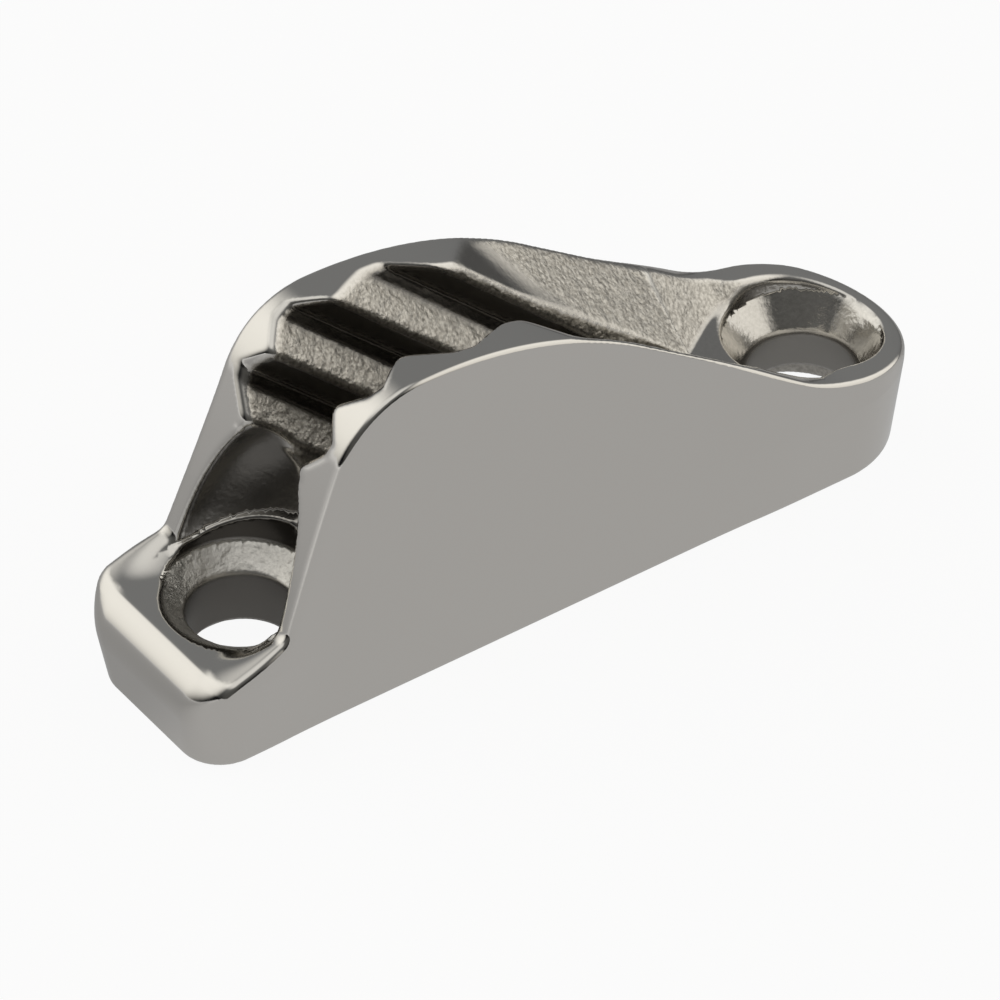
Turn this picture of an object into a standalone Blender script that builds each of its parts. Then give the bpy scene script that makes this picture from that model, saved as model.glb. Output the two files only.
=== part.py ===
"""Open rope cleat cast in one piece of stainless steel.

Two fixed side walls form a V-shaped jaw. Slanted teeth on their inner faces pull a
pressed-in rope down and hold it by friction. A countersunk screw hole stands in
front of the jaw and another behind it. Nothing on the cleat moves.

Frame: origin at the centre of the flat base, +Z up, +X towards the low rear end.
"""

import math

import bmesh
import bpy

MM = 0.001

# Driving dimensions
LENGTH = 68.0 * MM
WAIST_WIDTH = 15.2 * MM
HEIGHT = 28.0 * MM
PAD_TOP = 7.5 * MM               # front screw pad, at its front edge
PAD_BACK_TOP = 9.9 * MM          # where the pad meets the front of the walls
PAD_ROLL = 2.2 * MM              # rounding of the pad's front edge
FRONT_HOLE_INSET = 8.9 * MM      # from the front end
REAR_HOLE_INSET = 7.6 * MM       # from the rear end
BORE_RADIUS = 4.1 * MM
SINK_RADIUS = 6.05 * MM
FRONT_SINK = (6.7 * MM, 8.2 * MM)  # heights of the front countersink's lower and upper edge
REAR_SINK = (5.4 * MM, 8.0 * MM)

# Jaw: the teeth run down towards the rear, alike on both walls
TOOTH_SLOPE = math.radians(41.8)
TOOTH_PITCH = 5.4 * MM           # across the teeth
TOOTH_COUNT = 4
FIRST_CREST = 23.3 * MM          # across the teeth, from the foot of the front end
CREST_WIDTH = 0.7 * MM           # of the last tooth
JAW_LEAD_IN = 11.0 * MM          # smooth jaw ahead of the first crest
STEP_DEPTH = 0.5 * MM            # shallow step just below the first tooth
STEP_EDGES = (1.1 * MM, 0.5 * MM)  # the step's two edges, ahead of the first crest
# One tooth as (share of the pitch, depth): crest, up-facing flank, root, down-facing flank
TOOTH_SHAPE = ((0.0, 0.0), (0.09, 0.0), (0.44, 1.5 * MM), (0.62, 1.65 * MM))
JAW_FLOOR = 9.5 * MM
JAW_FLOOR_GAP = 1.1 * MM         # half the gap between the walls at the floor
JAW_FLARE = 0.162                # growth of the half gap per unit of height
LAST_FLANK_SLOPE = 2.8           # growth of the half gap across the last tooth's rear flank

# Rear fan: the wall tops fall towards the middle behind the last tooth
FAN_RIM = 0.3 * MM
FAN_SLOPE = 0.7
TAIL_SLOPE = 1.02
TAIL_START = 50.5 * MM           # from the front end
TAIL_BLEND = 0.5 * MM
FAN_FLOOR = 9.1 * MM
RIM_START = 56.6 * MM            # from the front end: the rim widens from here
RIM_GROWTH = 0.38
FAN_SPAN = (30.0 * MM, 64.0 * MM)  # ends of the trough's cutter, from the front end
FAN_REACH = 3.0 * MM             # beyond the waist
FAN_STEPS = 24

# Front scoop: a dome over the screw hole that opens the jaw to the front
SCOOP_RADII = (6.4 * MM, 6.0 * MM, 12.0 * MM)
SCOOP_BASE = 9.4 * MM
SCOOP_SHIFT = 0.4 * MM           # ahead of the hole
SCOOP_LEVELS = 14
SCOOP_OVERLAP = 0.5 * MM         # of the hole's cutter with the scoop's

# Ends: the two bosses are wider than the waist, and lean out as they rise
END_FLARE = 1.0 * MM             # extra half width of a boss at its top
FOOT_FLARE = 0.15                # share of that at the base
FRONT_FLARE = (4.0 * MM, 13.0 * MM)  # where the flare fades, from the front end
REAR_FLARE = (45.0 * MM, 54.5 * MM)
FLARE_STEPS = 6
DRAFT_TOP = 7.5 * MM
FRONT_DRAFT = 1.1 * MM
FRONT_CORNER = 3.4 * MM

# Underside
RECESS_WALL = 1.4 * MM
RECESS_DEPTH = 2.1 * MM

FRONT = -LENGTH / 2
REAR = LENGTH / 2
HALF_WIDTH = WAIST_WIDTH / 2
FRONT_HOLE = FRONT + FRONT_HOLE_INSET
REAR_HOLE = REAR - REAR_HOLE_INSET
CLEAR = 12.0 * MM                # how far a cutter reaches past the casting
ROUND_STEPS = 64
ARC_STEPS = 12


def clear_scene():
    for obj in list(bpy.data.objects):
        bpy.data.objects.remove(obj, do_unlink=True)


def add_object(name, bm):
    bmesh.ops.recalc_face_normals(bm, faces=bm.faces)
    mesh = bpy.data.meshes.new(name)
    bm.to_mesh(mesh)
    bm.free()
    obj = bpy.data.objects.new(name, mesh)
    bpy.context.scene.collection.objects.link(obj)
    return obj


def hide_cutter(obj):
    obj.hide_render = True
    obj.display_type = "WIRE"
    return obj


def loft(name, rings):
    """Closed solid through rings that all have the same number of points."""
    bm = bmesh.new()
    verts = [[bm.verts.new(point) for point in ring] for ring in rings]
    count = len(rings[0])
    for lower, upper in zip(verts, verts[1:]):
        for i in range(count):
            j = (i + 1) % count
            bm.faces.new((lower[i], lower[j], upper[j], upper[i]))
    bmesh.ops.triangulate(bm, faces=bm.faces)
    bm.faces.new(verts[0])
    bm.faces.new(verts[-1])
    return add_object(name, bm)


def fillet(corners):
    """Points of an open line whose inner corners (x, z, radius) are rounded by arcs."""
    points = [corners[0][:2]]
    for before, corner, after in zip(corners, corners[1:], corners[2:]):
        x, z, radius = corner
        way_in = math.atan2(z - before[1], x - before[0])
        way_out = math.atan2(after[1] - z, after[0] - x)
        turn = (way_out - way_in + math.pi) % (2 * math.pi) - math.pi
        side = math.copysign(1.0, turn)
        reach = radius * math.tan(abs(turn) / 2)
        centre_x = x - reach * math.cos(way_in) - side * radius * math.sin(way_in)
        centre_z = z - reach * math.sin(way_in) + side * radius * math.cos(way_in)
        for step in range(ARC_STEPS + 1):
            angle = way_in + turn * step / ARC_STEPS
            points.append((centre_x + side * radius * math.sin(angle),
                           centre_z - side * radius * math.cos(angle)))
    points.append(corners[-1][:2])
    return points


def crown_line():
    """Side profile of the casting's top, from before the front end to past the rear."""
    return fillet([
        (FRONT, -CLEAR),
        (FRONT, PAD_TOP, PAD_ROLL),
        (FRONT + 7.4 * MM, PAD_BACK_TOP, 1.2 * MM),
        (FRONT + 14.65 * MM, HEIGHT, 8.0 * MM),
        (FRONT + 30.9 * MM, HEIGHT, 34.0 * MM),
        (FRONT + 56.4 * MM, 10.7 * MM, 15.0 * MM),
        (FRONT + 64.4 * MM, 9.0 * MM, 12.0 * MM),
        (REAR + CLEAR, 4.1 * MM),
    ])


def height_on(line, x):
    """Height of an outline at x, between its points."""
    for (x0, z0), (x1, z1) in zip(line, line[1:]):
        if x0 < x1 and x0 <= x <= x1:
            return z0 + (z1 - z0) * (x - x0) / (x1 - x0)
    return line[-1][1]


def arc(centre_x, centre_y, radius, first, last, steps):
    """Points of an arc between two angles in degrees."""
    points = []
    for step in range(steps + 1):
        angle = math.radians(first + (last - first) * step / steps)
        points.append((centre_x + radius * math.cos(angle), centre_y + radius * math.sin(angle)))
    return points


def flare_line(span, start, end):
    """Smooth step in half width, from start to end, over a stretch of the length."""
    points = []
    for step in range(FLARE_STEPS + 1):
        share = step / FLARE_STEPS
        ease = share * share * (3.0 - 2.0 * share)
        points.append((FRONT + span[0] + share * (span[1] - span[0]), start + ease * (end - start)))
    return points


def plan_outline(z, inset=0.0):
    """Plan of the casting at height z: front boss with round corners, waist, round rear boss."""
    rise = min(1.0, z / DRAFT_TOP)
    waist = HALF_WIDTH - inset
    boss = waist + END_FLARE * (FOOT_FLARE + (1.0 - FOOT_FLARE) * rise)
    corner = FRONT_CORNER - inset
    front = FRONT + FRONT_DRAFT * (1.0 - rise) + inset
    rear_centre = REAR - HALF_WIDTH - END_FLARE
    side = arc(front + corner, boss - corner, corner, 180.0, 90.0, ARC_STEPS)
    side += flare_line(FRONT_FLARE, boss, waist)[1:]
    side += flare_line(REAR_FLARE, waist, boss)
    side += arc(rear_centre, 0.0, boss, 90.0, 0.0, ROUND_STEPS // 4)
    other_side = [(x, -y) for x, y in side[-2::-1]]
    return [(x, y, z) for x, y in side + other_side]


def body_blank():
    side = [(x, z) for x, z in crown_line() if z > 0.0]
    side = [(FRONT, 0.0)] + side + [(REAR + CLEAR, 0.0)]
    return loft("cleat_body", [
        [(x, y, z) for x, z in side] for y in (-HALF_WIDTH - CLEAR, HALF_WIDTH + CLEAR)
    ])


def plan_cutter():
    levels = (-1.0 * MM, DRAFT_TOP, HEIGHT + CLEAR)
    return hide_cutter(loft("plan_cutter", [plan_outline(z) for z in levels]))


def recess_cutter():
    """Shallow pocket in the underside that leaves a flat rim to stand on."""
    rings = [[(x, y, z) for x, y, _ in plan_outline(0.0, RECESS_WALL)]
             for z in (-CLEAR, RECESS_DEPTH)]
    return hide_cutter(loft("recess_cutter", rings))


def round_cutter(name, x, levels):
    """Turned cutter on a vertical axis, given as (height, radius) levels."""
    rings = []
    for z, radius in levels:
        angles = [2 * math.pi * step / ROUND_STEPS for step in range(ROUND_STEPS)]
        rings.append([(x + radius * math.cos(a), radius * math.sin(a), z) for a in angles])
    return hide_cutter(loft(name, rings))


def hole_cutter(name, x, sink, top):
    """Bore, countersink between two heights and a straight well above it."""
    return round_cutter(name, x, [
        (-CLEAR, BORE_RADIUS),
        (sink[0], BORE_RADIUS),
        (sink[1], SINK_RADIUS),
        (top, SINK_RADIUS),
    ])


def scoop_cutter():
    length, width, height = SCOOP_RADII
    rings = []
    for level in range(SCOOP_LEVELS):
        rise = math.pi / 2 * level / SCOOP_LEVELS
        shrink = math.cos(rise)
        angles = [2 * math.pi * (step + 0.5) / ROUND_STEPS for step in range(ROUND_STEPS)]
        rings.append([(FRONT_HOLE - SCOOP_SHIFT + length * shrink * math.cos(a),
                       width * shrink * math.sin(a),
                       SCOOP_BASE + height * math.sin(rise)) for a in angles])
    return hide_cutter(loft("scoop_cutter", rings))


def half_gap(z):
    return JAW_FLOOR_GAP + JAW_FLARE * (z - JAW_FLOOR)


def tooth_lines():
    """(distance across the teeth, depth) of each edge, from the front of the jaw to its rear."""
    lines = [(FIRST_CREST - JAW_LEAD_IN, 0.0),
             (FIRST_CREST - STEP_EDGES[0], 0.0),
             (FIRST_CREST - STEP_EDGES[1], STEP_DEPTH)]
    for tooth in range(TOOTH_COUNT - 1):
        for share, depth in TOOTH_SHAPE:
            lines.append((FIRST_CREST + (tooth + share) * TOOTH_PITCH, depth))
    last_crest = FIRST_CREST + (TOOTH_COUNT - 1) * TOOTH_PITCH
    lines.append((last_crest, 0.0))
    lines.append((last_crest + 2 * CREST_WIDTH, 0.0))
    return lines


def jaw_cutter():
    """Toothed V slot: every tooth edge is a straight line down a slanted plane."""
    rings = []
    top = HEIGHT + CLEAR
    for across, depth in tooth_lines():
        ring = []
        for z, side in ((JAW_FLOOR, -1), (top, -1), (top, 1), (JAW_FLOOR, 1)):
            x = FRONT + (across - z * math.cos(TOOTH_SLOPE)) / math.sin(TOOTH_SLOPE)
            ring.append((x, side * (half_gap(z) + depth), z))
        rings.append(ring)
    return hide_cutter(loft("jaw_cutter", rings))


def fan_height(crown, u, y):
    """Height of the trough behind the teeth, u from the front end."""
    blend = min(1.0, max(0.0, (u - TAIL_START) / TAIL_BLEND))
    slope = FAN_SLOPE + (TAIL_SLOPE - FAN_SLOPE) * blend
    rim = FAN_RIM + RIM_GROWTH * max(0.0, u - RIM_START)
    return height_on(crown, FRONT + u) - slope * (HALF_WIDTH - rim - abs(y))


def fan_cutter():
    """Open V trough that follows the crown, with a crease at each change of its slope."""
    crown = crown_line()
    reach = HALF_WIDTH + FAN_REACH
    top = HEIGHT + CLEAR
    first, last = FAN_SPAN
    stations = [first + (last - first) * step / FAN_STEPS for step in range(FAN_STEPS + 1)]
    stations += [TAIL_START, TAIL_START + TAIL_BLEND, RIM_START]
    rings = []
    for u in sorted(stations):
        section = [(y, fan_height(crown, u, y)) for y in (-reach, 0.0, reach)]
        section += [(reach, top), (-reach, top)]
        rings.append([(FRONT + u, y, z) for y, z in section])
    cutter = hide_cutter(loft("fan_cutter", rings))
    combine(cutter, fan_limit(), "INTERSECT")
    return cutter


def fan_limit():
    """Space above the flat fan floor and behind the last tooth's rear flank."""
    last_edge = FIRST_CREST + (TOOTH_COUNT - 1) * TOOTH_PITCH + CREST_WIDTH
    reach = HALF_WIDTH + CLEAR
    top = HEIGHT + CLEAR + CLEAR
    rings = []
    for y in (-reach, 0.0, reach):
        ring = [(REAR, y, FAN_FLOOR), (REAR, y, top)]
        for z in (top, FAN_FLOOR):
            across = last_edge + (abs(y) - half_gap(z)) / LAST_FLANK_SLOPE
            x = FRONT + (across - z * math.cos(TOOTH_SLOPE)) / math.sin(TOOTH_SLOPE)
            ring.append((x, y, z))
        rings.append(ring)
    return hide_cutter(loft("fan_limit", rings))


def combine(obj, other, operation):
    modifier = obj.modifiers.new(other.name, "BOOLEAN")
    modifier.operation = operation
    modifier.solver = "EXACT"
    modifier.object = other


def polished_steel():
    material = bpy.data.materials.new("polished_stainless_steel")
    material.use_nodes = True
    shader = material.node_tree.nodes["Principled BSDF"]
    shader.inputs["Base Color"].default_value = (0.60, 0.58, 0.54, 1.0)
    shader.inputs["Metallic"].default_value = 1.0
    shader.inputs["Roughness"].default_value = 0.18
    return material


def build_cleat():
    body = body_blank()
    combine(body, plan_cutter(), "INTERSECT")
    front_hole = hole_cutter("front_hole_cutter", FRONT_HOLE, FRONT_SINK,
                             SCOOP_BASE + SCOOP_OVERLAP)
    rear_hole = hole_cutter("rear_hole_cutter", REAR_HOLE, REAR_SINK, HEIGHT)
    for cutter in (jaw_cutter(), fan_cutter(), scoop_cutter(), front_hole, rear_hole,
                   recess_cutter()):
        combine(body, cutter, "DIFFERENCE")
    body.data.materials.append(polished_steel())
    body.data.shade_smooth()
    body.data.set_sharp_from_angle(angle=math.radians(30.0))
    return body


clear_scene()
build_cleat()
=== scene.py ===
"""Studio view of an open rope cleat, one polished stainless-steel casting.

The visible casting is meshed from signed distances, in millimetres, so that every edge
gets its own rounding: polished outside, as-cast toothed jaw, fan and countersinks.
u runs along the cleat from its front end, y across it and z up from its base.
"""

import math

import bpy
import numpy as np
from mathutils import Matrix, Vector


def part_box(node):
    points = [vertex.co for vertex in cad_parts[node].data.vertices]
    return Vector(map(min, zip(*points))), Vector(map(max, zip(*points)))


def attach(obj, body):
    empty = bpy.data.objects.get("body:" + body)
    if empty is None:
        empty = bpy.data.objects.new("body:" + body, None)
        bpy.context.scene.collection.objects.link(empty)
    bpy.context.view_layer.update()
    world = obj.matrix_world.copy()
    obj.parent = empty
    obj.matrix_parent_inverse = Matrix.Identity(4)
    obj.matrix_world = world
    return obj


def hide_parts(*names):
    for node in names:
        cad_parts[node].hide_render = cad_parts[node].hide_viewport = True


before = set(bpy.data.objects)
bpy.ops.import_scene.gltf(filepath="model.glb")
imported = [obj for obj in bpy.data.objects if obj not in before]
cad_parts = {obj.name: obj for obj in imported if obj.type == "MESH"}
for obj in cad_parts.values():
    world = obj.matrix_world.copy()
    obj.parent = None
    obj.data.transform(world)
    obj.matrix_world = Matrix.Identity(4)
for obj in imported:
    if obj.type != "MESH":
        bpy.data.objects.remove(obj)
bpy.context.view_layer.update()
CAD_LOW, CAD_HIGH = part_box("cleat_body")

MM = 0.001
TINY = 1e-6
FRONT_X = CAD_LOW.x / MM
LENGTH = (CAD_HIGH.x - CAD_LOW.x) / MM
HEIGHT = CAD_HIGH.z / MM
HALF_WIDTH = 7.6

# Side profile of the top
PAD_TOP = 7.5
PAD_LENGTH = 7.4
PAD_BACK = 9.9

# The pad is level in the middle and rises towards the walls along its two sides
DISH_TOP = 8.1
DISH_SIDES = (4.3, 7.9)
DISH_END = (6.5, 9.5)

# Plan: the ends are wider than the waist and lean out as they rise
END_FLARE = 1.0
FOOT_FLARE = 0.15
FRONT_FLARE = (4.0, 13.0)
REAR_FLARE = (45.0, 54.5)
FRONT_CORNER = 3.4
FRONT_DRAFT = 1.1
FRONT_LEAD = 0.5                 # lost again to the front roll
DRAFT_TOP = 7.5

# Outer edges: rounding widths. The wide one of the pad and front walls fades along u
SIDE_EDGE = 0.55
FRONT_ROLL = 3.4
SLOPE_EDGE = 0.8
SLOPE_EDGE_FADE = (12.0, 16.0)
BASE_EDGE = 0.5
JAW_EDGE = 0.7
JAW_FRONT_EDGE = 0.5
JAW_FRONT_FADE = (12.0, 18.0)

# Rounding widths where the other surfaces cut into the casting
CUT_EDGES = {"fan": 0.3, "scoop": 0.7, "well": 0.3, "front_bore": 0.3, "rear_well": 0.8,
             "rear_bore": 0.3, "recess": 0.4}

# Screw holes
FRONT_HOLE = 8.9
REAR_HOLE = LENGTH - 7.6
BORE = 4.1
FRONT_WELL = 6.05
REAR_WELL = 6.1
FRONT_CONE = 6.7
FRONT_CONE_GROWTH = 1.3
LEDGE = 9.8
LEDGE_TILT = 0.28
REAR_CONE = 5.4
REAR_CONE_GROWTH = 0.75

# Jaw. A tooth is given by places, as shares of the pitch, and depths under its crest
TEETH = 4
TOOTH_SLOPE = math.radians(41.8)
TOOTH_PITCH = 5.4
FIRST_CREST = 23.3
LAST_CREST = FIRST_CREST + (TEETH - 1) * TOOTH_PITCH
CREST_WIDTH = 0.7
TOOTH = ((0.0, 0.0), (0.08, 0.0), (0.44, 1.55), (0.64, 1.7))
TOOTH_ROUNDING = 0.22
STEP_START = 1.1
STEP_EDGE = 0.5
STEP_DEPTH = 0.3
TABLE_ENDS = (11.0, 9.0)
TABLE_SPACING = 0.02
ROUNDING_SAMPLES = 9
JAW_FLOOR = 9.5
JAW_FLOOR_GAP = 1.1
JAW_FLARE = 0.162
JAW_END = 0.9
JAW_FLOOR_BLEND = 1.0
JAW_END_BLEND = 0.4

# Fan behind the teeth
FAN_RIM = 0.3
FAN_SLOPE = 0.7
TAIL_SLOPE = 1.02
TAIL_START = 50.5
TAIL_BLEND = 0.5
BEAD_HEIGHT = 0.14
BEAD_WIDTH = 0.28
FLANK_SLOPE = 2.8
FLANK_BLEND = 0.35
FAN_FLOOR = 9.1
FAN_FLOOR_BLEND = 0.3
RIM_START = 56.6
RIM_GROWTH = 0.38

# Steepness of the fields that aren't true distances
WALL_GRADIENT = 1.2
FAN_GRADIENT = 1.4
FLANK_GRADIENT = 1.05

# Scoop
SCOOP_CENTRE = 8.5
SCOOP_BASE = 9.4
SCOOP_RADII = (7.0, 6.4, 12.4)
SCOOP_LEAN = 0.25

# Underside
RECESS_WALL = 1.4
RECESS_DEPTH = 2.1
RECESS_BLEND = 0.6

# Mesh: cell size, shift of the grid in cells and the longest move of one projection
VOXEL = 0.28
GRID_SHIFT = 0.37
MOVE_LIMIT = 0.2
LEAST_SLOPE = 0.2
PROBE = 0.01
CORNERS = tuple(np.ndindex(2, 2, 2))

# Relief of the as-cast faces, its lattice turned out of line with them
GRAIN_SIZE = 0.7
GRAIN_HEIGHT = 0.03
GRAIN_LIMIT = 1.3
GRAIN_TURN = np.array([[0.80, -0.48, 0.36], [0.60, 0.64, -0.48], [0.0, 0.60, 0.80]])
RELIEF_STEP = 0.02
HASH_PRIMES = (73856093, 19349663, 83492791)
HASH_FACTOR = 1274126177
HASH_MASK = 0x7FFFFFFF
HASH_LEVELS = 4096

# Areas of the surface: painted shade lies in the tooth valleys, with a painted glint of light
# along their bottoms
SHARE_FADE = (-0.15, 0.3)
RIM_FADE = (0.25, 0.8)
RIM_GRAIN = 0.3
VALLEY_START = (1.9, 2.6)
VALLEY_END = (5.1, 5.4)
VALLEYS_START = 0.2
VALLEYS_END = 0.3
GLINT_PLACE = 3.6
GLINT_WIDTH = 0.3
GLINT = 0.5
SHADE_SMOOTHNESS = 0.8
JAW_FRONT_START = (1.4, 0.9)
FLANK_FADE = (0.5, 1.8)
FAN_FLOOR_FADE = (0.3, 0.1)
FAN_SMOOTHNESS = 0.85
TAIL_FADE = 0.4
TAIL_SMOOTHNESS = 0.12
SINK_FADE = (8.6, 8.0)
SINK_WALL_FADE = (8.1, 8.6)
SCOOP_FADE = (9.0, 12.0)

# What each area adds to each mesh attribute
LOOKS = {
    "grain": {"jaw_grain": 1.0, "fan_grain": 1.0, "sink": 0.8, "scoop": 0.1, "recess": 0.6,
              "rear_well": 0.22},
    "matte": {"front_bore": 1.0, "rear_bore": 1.0, "recess": 1.0},
    # painted shade: dark colour in the tooth valleys, before the first tooth, on the last flank,
    # the fan floor, the upper scoop, the countersink wall and the bores
    "painted_shade": {"valley": 0.82, "jaw_front": 0.8, "flank": 0.5, "fan_floor": 0.25,
              "scoop_wall": 0.8, "sink_wall": 0.97, "front_bore": 0.75, "rear_bore": 0.5},
    # painted highlight: pale colour on the fan's bead and the front countersink's cone
    "painted_highlight": {"bead_highlight": 1.0, "sink": 0.5},
}
PAINTED_SHADE_LIMIT = 1.0
ATTRIBUTE_LIMIT = 1.5

# Metal: colours, roughness that each attribute adds, and noises by scale per metre and detail
POLISHED = (0.62, 0.60, 0.565, 1.0)
CAST_TOP = (0.60, 0.575, 0.525, 1.0)
CAST_PIT = (0.34, 0.32, 0.285, 1.0)
# Near-black colour of the painted shade in the hollows
PAINTED_SHADE = (0.055, 0.049, 0.041, 1.0)
# Pale colour of the painted highlights
PAINTED_HIGHLIGHT = (0.98, 0.96, 0.91, 1.0)
POLISH_ROUGHNESS = 0.07
SMEAR_ROUGHNESS = 0.06
ROUGHNESS = {"grain": 0.26, "matte": 0.3, "painted_shade": 0.1, "painted_highlight": 0.2}
SPECK_NOISE = (3600.0, 3.0)
SPECK_RANGE = (0.36, 0.64)
SMEAR_NOISE = (400.0, 3.0)
BUMP_NOISE = (2600.0, 4.0)
BUMP_HEIGHT = 0.00012
GRAIN_BUMP = 0.7
POLISH_BUMP = 0.012

# Floor, in metres: strength of its painted glow in reflections on its near and far side and
# behind the cleat
FLOOR_REACH = 3.0
FLOOR_COLOUR = (0.8, 0.8, 0.79, 1.0)
FLOOR_ROUGHNESS = 0.9
FLOOR_EVENNESS = 0.93
SIDE_FADE = (-0.009, 0.004)
SIDE_LIGHT = (0.54, 0.38)
REAR_DIRECTION = (0.76, 0.65, 0.0)
REAR_FADE = (0.03, 0.2)
REAR_LIGHT = (1.0, 0.35)
LEFT_DIRECTION = (-0.64, 0.77, 0.0)
LEFT_FADE = (0.03, 0.4)
LEFT_LIGHT = (0.0, 0.45)

# Studio panels: azimuth, elevation, angles of the bright core and the soft edge, colour
STUDIO = (
    (-28.0, 22.0, 26.0, 48.0, (1.05, 1.02, 0.955)),
    (130.0, 28.0, 5.0, 48.0, (1.1, 1.08, 1.02)),
    (60.0, 50.0, 20.0, 110.0, (0.25, 0.255, 0.26)),
    (200.0, 78.0, 5.0, 36.0, (0.75, 0.74, 0.71)),
    (-125.0, 32.0, 12.0, 55.0, (0.1, 0.099, 0.095)),
)

# Camera: angles in degrees, places in metres, lens and sensor in millimetres
CAMERA_AZIMUTH = -125.6
CAMERA_ELEVATION = 39.9
CAMERA_DISTANCE = 0.6056
CAMERA_TARGET = (-0.0083, -0.0092, 0.0153)
CAMERA_LENS = 300.0
CAMERA_SENSOR = 36.0


def smooth_max(a, b, width):
    """Larger of two distances, which rounds the edge where their surfaces cross."""
    near = np.maximum(width - np.abs(a - b), 0.0) / width
    return np.maximum(a, b) + near * near * width / 4


def smooth_min(a, b, width):
    """Smaller of two distances, which rounds the corner where their surfaces cross."""
    return -smooth_max(-a, -b, width)


def smooth_step(low, high, value):
    """Soft step from 0 at low to 1 at high. It falls where low is the larger one."""
    share = np.clip((value - low) / (high - low), 0.0, 1.0)
    return share * share * (3 - 2 * share)


def rounded_path(corners):
    """Lines and arcs of an open line whose inner corners are (u, z, radius)."""
    elements = []
    start = corners[0][:2]
    for before, corner, after in zip(corners, corners[1:], corners[2:]):
        u, z, radius = corner
        way_in = math.atan2(z - before[1], u - before[0])
        way_out = math.atan2(after[1] - z, after[0] - u)
        turn = (way_out - way_in + math.pi) % (2 * math.pi) - math.pi
        side = math.copysign(1.0, turn)
        reach = radius * math.tan(abs(turn) / 2)
        arc_start = (u - reach * math.cos(way_in), z - reach * math.sin(way_in))
        centre = (arc_start[0] - side * radius * math.sin(way_in),
                  arc_start[1] + side * radius * math.cos(way_in))
        elements.append(("line", start, arc_start))
        elements.append(("arc", centre, radius, side, way_in, abs(turn)))
        start = (u + reach * math.cos(way_out), z + reach * math.sin(way_out))
    elements.append(("line", start, corners[-1][:2]))
    return elements


def path_distance(elements, u, z):
    """Signed distance to the path, positive on its left."""
    best = None
    for element in elements:
        if element[0] == "line":
            _, (u0, z0), (u1, z1) = element
            length = math.hypot(u1 - u0, z1 - z0)
            du, dz = (u1 - u0) / length, (z1 - z0) / length
            along = np.clip((u - u0) * du + (z - z0) * dz, 0.0, length)
            gap_u, gap_z = u - u0 - along * du, z - z0 - along * dz
            far = np.hypot(gap_u, gap_z)
            signed = np.where(du * gap_z - dz * gap_u >= 0, far, -far)
        else:
            _, (cu, cz), radius, side, way_in, turn = element
            wu, wz = side * (u - cu), side * (z - cz)
            lead = (side * (np.arctan2(wu, -wz) - way_in) + math.pi) % (2 * math.pi) - math.pi
            signed = side * (radius - np.hypot(wu, wz))
            far = np.where((lead >= 0) & (lead <= turn), np.abs(signed), np.inf)
        if best is None:
            best, result = far, signed
        else:
            result = np.where(far < best, signed, result)
            best = np.minimum(far, best)
    return result


# Pad, steep front wall, crown, long rear slope and the gently falling top of the ring
CROWN = rounded_path([
    (-2 * PAD_LENGTH, 3 * PAD_TOP - 2 * PAD_BACK),
    (PAD_LENGTH, PAD_BACK, 1.2),
    (14.65, HEIGHT, 8.0),
    (30.9, HEIGHT, 34.0),
    (56.4, 10.7, 15.0),
    (64.4, 9.0, 12.0),
    (LENGTH + 8.0, 5.2),
])


def crown_table(start=14.0, past_end=4.0, samples=1200, rounds=40, step=0.8):
    """Height of the crown line behind the front wall, as (u, z) samples."""
    u = np.linspace(start, LENGTH + past_end, samples)
    z = np.full_like(u, HEIGHT)
    for _ in range(rounds):
        z = z - path_distance(CROWN, u, z) * step
    return u, z


def tooth_table():
    """Depth of the jaw wall under its crests, as samples across the teeth."""
    points = [(FIRST_CREST - TABLE_ENDS[0], 0.0), (FIRST_CREST - STEP_START, 0.0),
              (FIRST_CREST - STEP_EDGE, STEP_DEPTH)]
    for tooth in range(TEETH - 1):
        points += [(FIRST_CREST + (tooth + share) * TOOTH_PITCH, depth) for share, depth in TOOTH]
    points += [(LAST_CREST, 0.0), (LAST_CREST + TABLE_ENDS[1], 0.0)]
    across, depth = zip(*points)
    fine = np.arange(across[0], across[-1], TABLE_SPACING)
    offsets = np.linspace(-TOOTH_ROUNDING, TOOTH_ROUNDING, ROUNDING_SAMPLES)
    smooth = sum(np.interp(fine + offset, across, depth) for offset in offsets) / len(offsets)
    return fine, smooth


CROWN_U, CROWN_Z = crown_table()
TOOTH_ACROSS, TOOTH_DEPTH = tooth_table()


def plan_distance(u, y, z):
    """Signed distance to the outline in plan, and how far the outline faces the front."""
    rise = np.clip(z / DRAFT_TOP, 0.0, 1.0)
    ends = 1.0 - smooth_step(*FRONT_FLARE, u) + smooth_step(*REAR_FLARE, u)
    flare = END_FLARE * (FOOT_FLARE + (1.0 - FOOT_FLARE) * rise)
    half = HALF_WIDTH + flare * ends
    before = FRONT_DRAFT * (1.0 - rise) + FRONT_CORNER - FRONT_LEAD - u
    beside = np.abs(y) - half + FRONT_CORNER
    out_u, out_y = np.maximum(before, 0.0), np.maximum(beside, 0.0)
    corner = np.hypot(out_u, out_y)
    box = corner + np.minimum(np.maximum(before, beside), 0.0) - FRONT_CORNER
    centre = LENGTH - HALF_WIDTH - END_FLARE
    ring = np.hypot(u - centre, y) - HALF_WIDTH - flare
    return np.where(u < centre, box, ring), out_u / (corner + TINY)


def jaw_gap(z):
    """Half the gap between the tooth crests."""
    return JAW_FLOOR_GAP + JAW_FLARE * (z - JAW_FLOOR)


def across_teeth(u, z):
    """Place across the slanted teeth."""
    return u * math.sin(TOOTH_SLOPE) + z * math.cos(TOOTH_SLOPE)


def dish(u, y):
    """How far the middle of the pad lies below its sloping sides."""
    side_height = PAD_TOP + (PAD_BACK - PAD_TOP) * u / PAD_LENGTH
    drop = np.clip(side_height, DISH_TOP, PAD_BACK) - DISH_TOP
    return drop * (1.0 - smooth_step(*DISH_SIDES, np.abs(y))) * (1.0 - smooth_step(*DISH_END, u))


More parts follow.
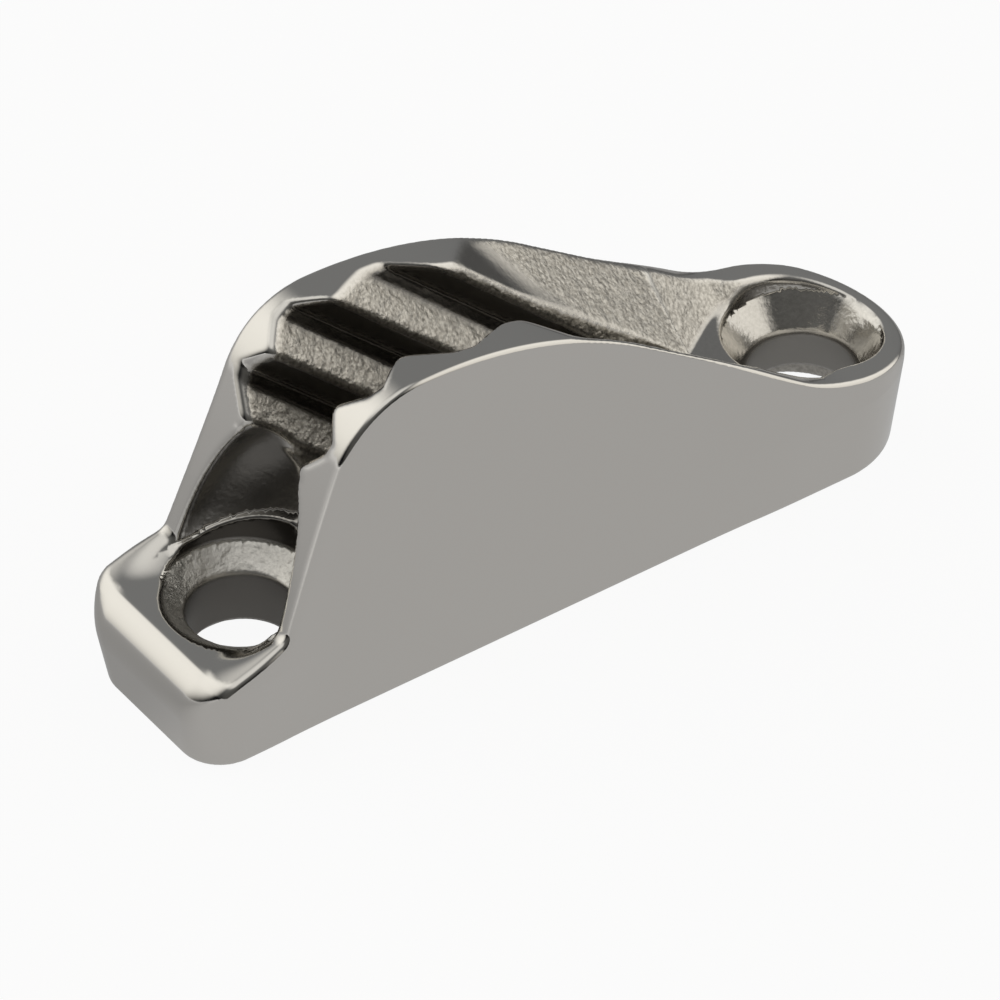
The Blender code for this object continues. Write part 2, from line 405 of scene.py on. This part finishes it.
def outside_surface(u, y, z):
    """Polished outside: crown line and plan outline, meeting in a rounded edge."""
    plan, facing = plan_distance(u, y, z)
    crown = path_distance(CROWN, u, z + dish(u, y))
    edge = SIDE_EDGE + (SLOPE_EDGE - SIDE_EDGE) * (1.0 - smooth_step(*SLOPE_EDGE_FADE, u))
    edge = edge + (FRONT_ROLL - edge) * smooth_step(0.0, 1.0, facing)
    return smooth_max(smooth_max(crown, plan, edge), -z, BASE_EDGE)


def jaw_surface(u, y, z):
    """V between the toothed walls, down to its floor and back to the last tooth."""
    across = across_teeth(u, z)
    depth = np.interp(across, TOOTH_ACROSS, TOOTH_DEPTH)
    wall = (jaw_gap(z) + depth - np.abs(y)) / WALL_GRADIENT
    end = LAST_CREST + CREST_WIDTH + JAW_END - across
    return smooth_min(smooth_min(wall, z - JAW_FLOOR, JAW_FLOOR_BLEND), end, JAW_END_BLEND)


def bead_share(u):
    """Thin bead across the fan where its slope changes, 1 on its ridge."""
    return np.exp(-((u - TAIL_START - TAIL_BLEND / 2) / BEAD_WIDTH) ** 2)


def fan_surface(u, y, z):
    """Trough that falls from both rims behind the teeth, and the last tooth's flank."""
    share = np.clip((u - TAIL_START) / TAIL_BLEND, 0.0, 1.0)
    slope = FAN_SLOPE + (TAIL_SLOPE - FAN_SLOPE) * share
    rim = FAN_RIM + RIM_GROWTH * np.maximum(u - RIM_START, 0.0)
    height = np.interp(u, CROWN_U, CROWN_Z) - slope * (HALF_WIDTH - rim - np.abs(y))
    height = height + BEAD_HEIGHT * bead_share(u)
    trough = smooth_min((z - height) / FAN_GRADIENT, z - FAN_FLOOR, FAN_FLOOR_BLEND)
    behind = across_teeth(u, z) - LAST_CREST - CREST_WIDTH
    flank = (behind - (np.abs(y) - jaw_gap(z)) / FLANK_SLOPE) / FLANK_GRADIENT
    return smooth_min(trough, flank, FLANK_BLEND)


def scoop_surface(u, y, z):
    """Leaning half ellipsoid that opens the jaw's front over the screw hole."""
    su, sy, sz = SCOOP_RADII
    dz = z - SCOOP_BASE
    du = u - SCOOP_CENTRE - SCOOP_LEAN * np.maximum(dz, 0.0)
    reach = np.sqrt((du / su) ** 2 + (y / sy) ** 2 + (dz / sz) ** 2)
    slope = np.sqrt((du / su ** 2) ** 2 + (y / sy ** 2) ** 2 + (dz / sz ** 2) ** 2)
    above = dz - LEDGE_TILT * np.maximum(u - FRONT_HOLE, 0.0)
    return np.minimum(-reach * (reach - 1.0) / (slope + TINY), above)


def cone(radius, height, growth):
    """Distance outside a countersink whose radius grows from the bore with height."""
    return (radius - BORE - height * growth) / math.hypot(1.0, growth)


def front_well(u, y, z):
    """Front countersink, up to the tilted ledge under the scoop."""
    radius = np.hypot(u - FRONT_HOLE, y)
    wall = np.maximum(radius - FRONT_WELL, cone(radius, z - FRONT_CONE, FRONT_CONE_GROWTH))
    top = z - LEDGE - LEDGE_TILT * np.maximum(u - FRONT_HOLE, 0.0)
    return -np.maximum(wall, top / math.hypot(1.0, LEDGE_TILT))


def rear_well(u, y, z):
    """Rear countersink, open at the top."""
    radius = np.hypot(u - REAR_HOLE, y)
    return -np.maximum(radius - REAR_WELL, cone(radius, z - REAR_CONE, REAR_CONE_GROWTH))


def recess_surface(u, y, z):
    """Shallow hollow of the underside, inside a rim that follows the outline."""
    outline, _ = plan_distance(u, y, np.zeros_like(z))
    return -smooth_max(outline + RECESS_WALL, z - RECESS_DEPTH, RECESS_BLEND)


def surfaces(u, y, z):
    """Signed distance of every surface of the casting, negative inside the metal."""
    return {
        "outside": outside_surface(u, y, z),
        "jaw": jaw_surface(u, y, z),
        "fan": fan_surface(u, y, z),
        "scoop": scoop_surface(u, y, z),
        "well": front_well(u, y, z),
        "front_bore": BORE - np.hypot(u - FRONT_HOLE, y),
        "rear_well": rear_well(u, y, z),
        "rear_bore": BORE - np.hypot(u - REAR_HOLE, y),
        "recess": recess_surface(u, y, z),
    }


def casting(u, y, z):
    """Signed distance of the whole casting: the outside, cut by each other surface."""
    parts = surfaces(u, y, z)
    jaw_edge = JAW_EDGE + JAW_FRONT_EDGE * (1.0 - smooth_step(*JAW_FRONT_FADE, u))
    total = smooth_max(parts["outside"], parts["jaw"], jaw_edge)
    for name, width in CUT_EDGES.items():
        total = smooth_max(total, parts[name], width)
    return total


def field_at(points):
    return casting(*points.T)


def gradient(points):
    """Direction in which the field grows, by central differences."""
    columns = []
    for axis in range(3):
        ahead, behind = points.copy(), points.copy()
        ahead[:, axis] += PROBE
        behind[:, axis] -= PROBE
        columns.append((field_at(ahead) - field_at(behind)) / (2 * PROBE))
    return np.stack(columns, axis=1)


def grid_line(length):
    """Grid places from two cells before 0 to two cells past a length."""
    pad = 2 * VOXEL
    count = int((length + 2 * pad) / VOXEL) + 1
    return GRID_SHIFT * VOXEL - pad + VOXEL * np.arange(count + 1)


def grid_across():
    """Grid places across the cleat, symmetric about its middle plane."""
    half = int(round((HALF_WIDTH + END_FLARE) / VOXEL))
    return VOXEL * (np.arange(-half, half + 2) - 0.5)


def corner_view(array, corner):
    """The array's values at one corner of every grid cell."""
    return array[tuple(slice(o, o + n - 1) for o, n in zip(corner, array.shape))]


def cell_points(values, cells):
    """Middle of the points where the field changes sign on each cell's edges, in grid steps."""
    total, crossings = np.zeros((len(cells), 3)), np.zeros(len(cells))
    for start in CORNERS:
        for axis in range(3):
            if start[axis]:
                continue
            end = tuple(o + (i == axis) for i, o in enumerate(start))
            v0 = values[tuple((cells + start).T)]
            v1 = values[tuple((cells + end).T)]
            crossed = (v0 < 0) != (v1 < 0)
            share = np.where(crossed, v0 / np.where(crossed, v0 - v1, 1.0), 0.0)
            point = np.tile(np.array(start, float), (len(cells), 1))
            point[:, axis] += share
            total += np.where(crossed[:, None], point, 0.0)
            crossings += crossed
    return cells + total / crossings[:, None]


def cell_quads(inside, ids):
    """A quad between the four cells round every grid edge that leaves the metal."""
    quads = []
    for axis in range(3):
        first = tuple(slice(0, -1) if i == axis else slice(None) for i in range(3))
        second = tuple(slice(1, None) if i == axis else slice(None) for i in range(3))
        crossed = np.argwhere(inside[first] != inside[second])
        across, up = (axis + 1) % 3, (axis + 2) % 3
        ring = []
        for da, db in ((-1, -1), (0, -1), (0, 0), (-1, 0)):
            cell = crossed.copy()
            cell[:, across] += da
            cell[:, up] += db
            ring.append(ids[tuple(cell.T)])
        quad = np.stack(ring, axis=1)
        flip = ~inside[tuple(crossed.T)]
        quad[flip] = quad[flip][:, ::-1]
        quads.append(quad)
    return np.concatenate(quads)


def surface_net(axes):
    """Vertices and quads where the field changes sign on a regular grid."""
    grid = np.meshgrid(*axes, indexing="ij", sparse=True)
    values = casting(*grid) + np.zeros([len(axis) for axis in axes])
    inside = values < 0
    count = sum(corner_view(inside, corner).astype(np.int8) for corner in CORNERS)
    cells = np.argwhere((count > 0) & (count < len(CORNERS)))
    ids = np.full(count.shape, -1, dtype=np.int64)
    ids[tuple(cells.T)] = np.arange(len(cells))
    origin = np.array([axis[0] for axis in axes])
    spacing = np.array([axis[1] - axis[0] for axis in axes])
    return origin + cell_points(values, cells) * spacing, cell_quads(inside, ids)


def project(points, rounds):
    """Move the points along the field's gradient onto the surface."""
    for _ in range(rounds):
        slope = gradient(points)
        steepness = np.maximum((slope ** 2).sum(1), LEAST_SLOPE)
        move = field_at(points)[:, None] * slope / steepness[:, None]
        points = points - np.clip(move, -MOVE_LIMIT, MOVE_LIMIT)
    return points


def relax(points, quads):
    """Move each point halfway to the mean of its neighbours."""
    total, weight = np.zeros_like(points), np.zeros(len(points))
    for a, b in ((0, 1), (1, 2), (2, 3), (3, 0)):
        for i, j in ((a, b), (b, a)):
            np.add.at(total, quads[:, i], points[quads[:, j]])
            np.add.at(weight, quads[:, i], 1)
    return 0.5 * points + 0.5 * total / weight[:, None]


def build_casting():
    """Points and quads of the smooth casting."""
    points, quads = surface_net([grid_line(LENGTH), grid_across(), grid_line(HEIGHT)])
    points = project(points, 3)
    for _ in range(2):
        points = project(relax(points, quads), 2)
    return points, quads


def lattice_value(cell):
    """Repeatable random value from -1 to 1 for every lattice cell."""
    first, second, third = (cell[..., i] * prime for i, prime in enumerate(HASH_PRIMES))
    key = first ^ second ^ third
    key = (key ^ (key >> 13)) * HASH_FACTOR & HASH_MASK
    return (key ^ (key >> 15)) % HASH_LEVELS * 2 / HASH_LEVELS - 1.0


def value_noise(points, size):
    """Smooth random field with features of a given size."""
    place = points / size
    cell = np.floor(place).astype(np.int64)
    share = smooth_step(0.0, 1.0, place - cell)
    total = 0.0
    for corner in CORNERS:
        weight = np.prod(np.where(corner, share, 1.0 - share), axis=1)
        total = total + weight * lattice_value(cell + np.array(corner))
    return total


def relief(points):
    """Height of the sand-like grain that the mould leaves."""
    turned = points @ GRAIN_TURN
    coarse, fine = value_noise(turned, GRAIN_SIZE), value_noise(turned, GRAIN_SIZE / 2)
    return GRAIN_HEIGHT * (coarse + 0.5 * fine)


def roughen(points, normals, grain):
    """Displace the cast faces by the relief, and tilt their normals to suit."""
    rises = [relief(points + step) - relief(points - step) for step in RELIEF_STEP * np.eye(3)]
    slope = np.stack(rises, axis=1) / (2 * RELIEF_STEP) * grain[:, None]
    slope -= (slope * normals).sum(1)[:, None] * normals
    tilted = normals - slope
    tilted /= np.linalg.norm(tilted, axis=1)[:, None]
    return points + normals * (relief(points) * grain)[:, None], tilted


def surface_shares(distances):
    """How far each point belongs to each surface, from 0 to 1."""
    shares = {}
    for name, distance in distances.items():
        rest = np.max([other for key, other in distances.items() if key != name], axis=0)
        shares[name] = smooth_step(*SHARE_FADE, distance - rest)
    return shares


def jaw_areas(points, share, depth):
    """Painted shade in the valleys between the teeth, with a painted glint along their bottoms,
    painted shade on the wall before the first one, and the walls' grain.
    """
    u, _, z = points.T
    across = across_teeth(u, z)
    rim = smooth_step(*RIM_FADE, depth)
    phase = (across - FIRST_CREST) % TOOTH_PITCH
    valley = smooth_step(*VALLEY_START, phase) * (1.0 - smooth_step(*VALLEY_END, phase))
    valley = valley * smooth_step(FIRST_CREST - VALLEYS_START, FIRST_CREST, across)
    valley = valley * (1.0 - smooth_step(LAST_CREST - VALLEYS_END, LAST_CREST, across))
    valley = valley * share * rim
    # Painted glint: a lighter line along each valley's bottom, taken out of the painted shade
    glint = GLINT * np.exp(-((phase - GLINT_PLACE) / GLINT_WIDTH) ** 2)
    low, high = JAW_FRONT_START
    front = 1.0 - smooth_step(FIRST_CREST - low, FIRST_CREST - high, across)
    smooth = (1.0 - SHADE_SMOOTHNESS * valley) * (1.0 - SHADE_SMOOTHNESS * front)
    return {
        "valley": valley * (1.0 - glint),
        "jaw_front": front * share * rim,
        "jaw_grain": share * smooth * (RIM_GRAIN + (1.0 - RIM_GRAIN) * rim),
    }


def fan_areas(points, share):
    """Painted shade on the last tooth's flank and on the fan's floor, a painted highlight on its
    bead, and its grain.
    """
    u, y, z = points.T
    low, high = FAN_FLOOR_FADE
    floor = share * smooth_step(FAN_FLOOR + low, FAN_FLOOR + high, z)
    behind = (across_teeth(u, z) - LAST_CREST - CREST_WIDTH) * FLANK_SLOPE
    flank = share * (1.0 - smooth_step(*FLANK_FADE, behind - np.abs(y) + jaw_gap(z)))
    tail = TAIL_SMOOTHNESS * smooth_step(TAIL_START, TAIL_START + TAIL_FADE, u)
    smooth = (1.0 - FAN_SMOOTHNESS * floor) * (1.0 - FAN_SMOOTHNESS * flank)
    return {
        "flank": flank,
        "fan_floor": floor,
        # painted highlight along the bead
        "bead_highlight": share * bead_share(u) * (1.0 - floor),
        "fan_grain": share * (1.0 - tail) * smooth,
    }


def front_areas(points, shares):
    """The front countersink's cone, with grain and a painted highlight, and painted shade on the
    wall over it and on the upper scoop.
    """
    z = points[:, 2]
    return {
        "sink": shares["well"] * smooth_step(*SINK_FADE, z),
        "sink_wall": shares["well"] * smooth_step(*SINK_WALL_FADE, z),
        "scoop_wall": shares["scoop"] * smooth_step(*SCOOP_FADE, z),
    }


def looks(points):
    """Mesh attributes that steer the material: grain, matte, painted shade and painted highlight.
    """
    distances = surfaces(*points.T)
    shares = surface_shares(distances)
    areas = {
        **shares,
        **jaw_areas(points, shares["jaw"], -distances["outside"]),
        **fan_areas(points, shares["fan"]),
        **front_areas(points, shares),
    }
    values = {name: sum(weight * areas[area] for area, weight in weights.items())
              for name, weights in LOOKS.items()}
    values["painted_shade"] = np.minimum(values["painted_shade"], PAINTED_SHADE_LIMIT)
    return values


def cleat_casting():
    """The casting as an object, with its relief, attributes and exact normals."""
    points, quads = build_casting()
    normals = gradient(points)
    normals /= np.linalg.norm(normals, axis=1)[:, None]
    values = looks(points)
    points, normals = roughen(points, normals, np.clip(values["grain"], 0.0, GRAIN_LIMIT))
    world = (points + np.array([FRONT_X, 0.0, 0.0])) * MM
    mesh = bpy.data.meshes.new("cleat_casting")
    mesh.from_pydata(world.tolist(), [], quads.tolist())
    mesh.validate()
    for name, value in values.items():
        layer = mesh.attributes.new(name, "FLOAT", "POINT")
        layer.data.foreach_set("value", np.clip(value, 0.0, ATTRIBUTE_LIMIT).astype(np.float32))
    mesh.shade_smooth()
    mesh.normals_split_custom_set_from_vertices(normals.tolist())
    mesh.materials.append(steel())
    return link(bpy.data.objects.new("cleat_casting", mesh))


def link(obj):
    """Put an object into the scene."""
    bpy.context.scene.collection.objects.link(obj)
    return obj


class Graph:
    """Short ways to add linked nodes to a node tree."""

    def __init__(self, tree):
        self.nodes, self.links = tree.nodes, tree.links

    def fill(self, socket, value):
        """Link an input socket to an output socket, or give it a plain value."""
        if isinstance(value, bpy.types.NodeSocket):
            self.links.new(value, socket)
        else:
            socket.default_value = value

    def add(self, kind, inputs, output=0, **settings):
        """Add a node with its settings and inputs, and return one of its outputs."""
        node = self.nodes.new(kind)
        for name, value in settings.items():
            setattr(node, name, value)
        for name, value in inputs.items():
            self.fill(node.inputs[name], value)
        return node.outputs[output]

    def attribute(self, name):
        return self.add("ShaderNodeAttribute", {}, "Fac", attribute_name=name)

    def noise(self, place, scale, detail):
        inputs = {"Vector": place, "Scale": scale, "Detail": detail}
        return self.add("ShaderNodeTexNoise", inputs, "Fac")

    def math(self, operation, *values):
        return self.add("ShaderNodeMath", dict(enumerate(values)), operation=operation)

    def vector(self, operation, first, second, output="Vector"):
        return self.add("ShaderNodeVectorMath", {0: first, 1: second}, output,
                        operation=operation)

    def mix(self, share, first, second):
        inputs = {"Factor": share, "A": first, "B": second}
        return self.add("ShaderNodeMix", inputs, "Result", data_type="RGBA")

    def ramp(self, value, start, end=(0.0, 1.0), interpolation="LINEAR"):
        """Map the range start to the range end, held at both ends."""
        inputs = {"Value": value, "From Min": start[0], "From Max": start[1],
                  "To Min": end[0], "To Max": end[1]}
        return self.add("ShaderNodeMapRange", inputs, "Result", interpolation_type=interpolation)


def steel():
    """Polished steel that turns grainy, takes painted shade or takes painted highlights where the
    attributes say so.
    """
    material = bpy.data.materials.new("polished_and_cast_steel")
    material.use_nodes = True
    graph = Graph(material.node_tree)
    shader = graph.nodes["Principled BSDF"].inputs
    shader["Metallic"].default_value = 1.0
    place = graph.add("ShaderNodeTexCoord", {}, "Object")
    look = {name: graph.attribute(name) for name in LOOKS}

    speck = graph.ramp(graph.noise(place, *SPECK_NOISE), SPECK_RANGE)
    cast = graph.mix(speck, CAST_PIT, CAST_TOP)
    # Painted shade darkens the hollows
    colour = graph.mix(look["painted_shade"], graph.mix(look["grain"], POLISHED, cast), PAINTED_SHADE)
    # Painted highlight brightens the bead and the countersink cone
    graph.fill(shader["Base Color"], graph.mix(look["painted_highlight"], colour, PAINTED_HIGHLIGHT))

    rough = graph.math("MULTIPLY_ADD", graph.noise(place, *SMEAR_NOISE), SMEAR_ROUGHNESS,
                       POLISH_ROUGHNESS)
    for name, amount in ROUGHNESS.items():
        rough = graph.math("MULTIPLY_ADD", look[name], amount, rough)
    graph.fill(shader["Roughness"], rough)

    inputs = {
        "Height": graph.noise(place, *BUMP_NOISE),
        "Distance": BUMP_HEIGHT,
        "Strength": graph.math("MULTIPLY_ADD", look["grain"], GRAIN_BUMP, POLISH_BUMP),
    }
    graph.fill(shader["Normal"], graph.add("ShaderNodeBump", inputs, "Normal"))
    return material


def floor_glow(graph):
    """Strength of the floor's painted glow in reflections: brightest before the cleat, dim behind
    it.
    """
    place = graph.add("ShaderNodeTexCoord", {}, "Object")
    across = graph.add("ShaderNodeSeparateXYZ", {0: place}, "Y")
    side = graph.ramp(across, SIDE_FADE, SIDE_LIGHT, "SMOOTHSTEP")
    rearward = graph.vector("DOT_PRODUCT", place, REAR_DIRECTION, "Value")
    rear = graph.ramp(rearward, REAR_FADE, REAR_LIGHT, "SMOOTHSTEP")
    leftward = graph.vector("DOT_PRODUCT", place, LEFT_DIRECTION, "Value")
    left = graph.ramp(leftward, LEFT_FADE, LEFT_LIGHT)
    return graph.math("MULTIPLY_ADD", side, rear, left)


def floor_white():
    """Evenly white to the camera, and a painted glow, dimmer in places, in the steel's
    reflections.
    """
    material = bpy.data.materials.new("floor_white")
    material.use_nodes = True
    graph = Graph(material.node_tree)
    shader = graph.nodes["Principled BSDF"]
    shader.inputs["Base Color"].default_value = FLOOR_COLOUR
    shader.inputs["Roughness"].default_value = FLOOR_ROUGHNESS
    white = graph.add("ShaderNodeEmission", {"Strength": 1.0})
    seen = graph.add("ShaderNodeMixShader", {0: FLOOR_EVENNESS, 1: shader.outputs[0], 2: white})
    reflected = graph.add("ShaderNodeEmission", {"Strength": floor_glow(graph)})
    to_camera = graph.add("ShaderNodeLightPath", {}, "Is Camera Ray")
    surface = graph.add("ShaderNodeMixShader", {0: to_camera, 1: reflected, 2: seen})
    graph.fill(graph.nodes["Material Output"].inputs["Surface"], surface)
    return material


def add_floor():
    mesh = bpy.data.meshes.new("floor")
    corners = [(x * FLOOR_REACH, y * FLOOR_REACH, 0.0)
               for x, y in ((-1, -1), (1, -1), (1, 1), (-1, 1))]
    mesh.from_pydata(corners, [], [range(len(corners))])
    mesh.materials.append(floor_white())
    link(bpy.data.objects.new("floor", mesh))


def direction_at(azimuth, elevation):
    """Unit vector towards an azimuth and elevation in degrees."""
    azimuth, elevation = math.radians(azimuth), math.radians(elevation)
    return (math.cos(azimuth) * math.cos(elevation), math.sin(azimuth) * math.cos(elevation),
            math.sin(elevation))


def studio_light(graph, direction):
    """Colour of the studio along a direction: soft round panels in a dark room."""
    total = None
    for azimuth, elevation, core, edge, colour in STUDIO:
        toward = direction_at(azimuth, elevation)
        aim = graph.vector("DOT_PRODUCT", direction, toward, "Value")
        fade = (math.cos(math.radians(edge)), math.cos(math.radians(core)))
        share = graph.ramp(aim, fade, interpolation="SMOOTHSTEP")
        light = graph.add("ShaderNodeVectorMath", {0: colour, "Scale": share}, "Vector",
                          operation="SCALE")
        total = light if total is None else graph.vector("ADD", total, light)
    return total


def add_studio():
    world = bpy.data.worlds.new("studio")
    bpy.context.scene.world = world
    world.use_nodes = True
    graph = Graph(world.node_tree)
    direction = graph.add("ShaderNodeTexCoord", {}, "Generated")
    background = graph.nodes["Background"].inputs
    graph.fill(background["Color"], studio_light(graph, direction))
    background["Strength"].default_value = 1.0


def add_camera():
    back = Vector(direction_at(CAMERA_AZIMUTH, CAMERA_ELEVATION))
    data = bpy.data.cameras.new("camera")
    data.lens = CAMERA_LENS
    data.sensor_width = CAMERA_SENSOR
    camera = link(bpy.data.objects.new("camera", data))
    camera.location = Vector(CAMERA_TARGET) + back * CAMERA_DISTANCE
    camera.rotation_euler = back.to_track_quat("Z", "Y").to_euler()
    bpy.context.scene.camera = camera


casting_object = cleat_casting()
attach(casting_object, "root")
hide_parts("cleat_body")
add_floor()
add_studio()
add_camera()
bpy.context.scene.view_settings.view_transform = "Standard"
